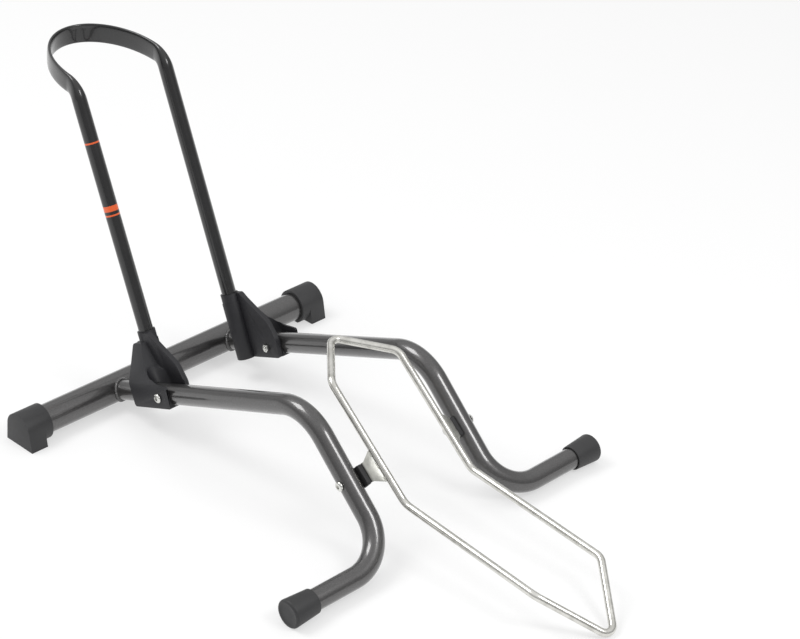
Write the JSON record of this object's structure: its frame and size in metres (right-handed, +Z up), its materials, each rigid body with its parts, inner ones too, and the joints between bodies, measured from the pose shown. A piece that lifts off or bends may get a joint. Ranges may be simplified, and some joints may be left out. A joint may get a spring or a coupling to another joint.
{
  "type": "floor bike rack",
  "caption": "Folding floor stand for one bicycle wheel: bent steel legs, a fold-down hoop on plastic brackets and a tipping wire cradle.",
  "frame": {"origin": "centre of the footprint on the floor plane, at the bottom of the bounding box", "axes": "+Z up, +Y from the front tip of the wire cradle back to the hoop, +X across to the right leg seen from the front"},
  "size_m": [0.529, 1.0172, 0.4624],
  "materials": {
    "gunmetal_paint": "metallic gloss paint, gunmetal grey",
    "black_paint": "gloss black paint",
    "black_plastic": "moulded satin black plastic",
    "zinc_wire": "zinc-plated steel wire and sheet",
    "zinc_hardware": "zinc-plated screws and nuts"
  },
  "bodies": {
    "base": {"cross_tube": "gunmetal_paint", "end_cap_left": "black_plastic", "end_cap_right": "black_plastic", "leg_tube_left": "gunmetal_paint", "leg_tube_right": "gunmetal_paint", "foot_cap_left": "black_plastic", "foot_cap_right": "black_plastic", "bracket_bolt_left": "zinc_hardware", "bracket_bolt_right": "zinc_hardware", "bracket_nut_left": "zinc_hardware", "bracket_nut_right": "zinc_hardware", "cradle_bolt_left": "zinc_hardware", "cradle_bolt_right": "zinc_hardware", "cradle_nut_left": "zinc_hardware", "cradle_nut_right": "zinc_hardware"},
    "hoop": {"hoop_tube": "black_paint", "hoop_bracket_left": "black_plastic", "hoop_bracket_right": "black_plastic"},
    "cradle": {"cradle_wire": "zinc_wire", "pivot_plate_left": "zinc_wire", "pivot_plate_right": "zinc_wire", "spacer_block_left": "black_plastic", "spacer_block_right": "black_plastic"}
  },
  "joints": [
    {"name": "hoop_fold", "type": "hinge", "parent": "base", "child": "hoop", "pos_m": [0, 0.19627, 0.0636], "axis": [1, 0, 0], "range_deg": [0, 108]},
    {"name": "cradle_tilt", "type": "hinge", "parent": "base", "child": "cradle", "pos_m": [0, -0.15582, 0.09386], "axis": [-1, 0, 0], "range_deg": [0, 207]}
  ]
}
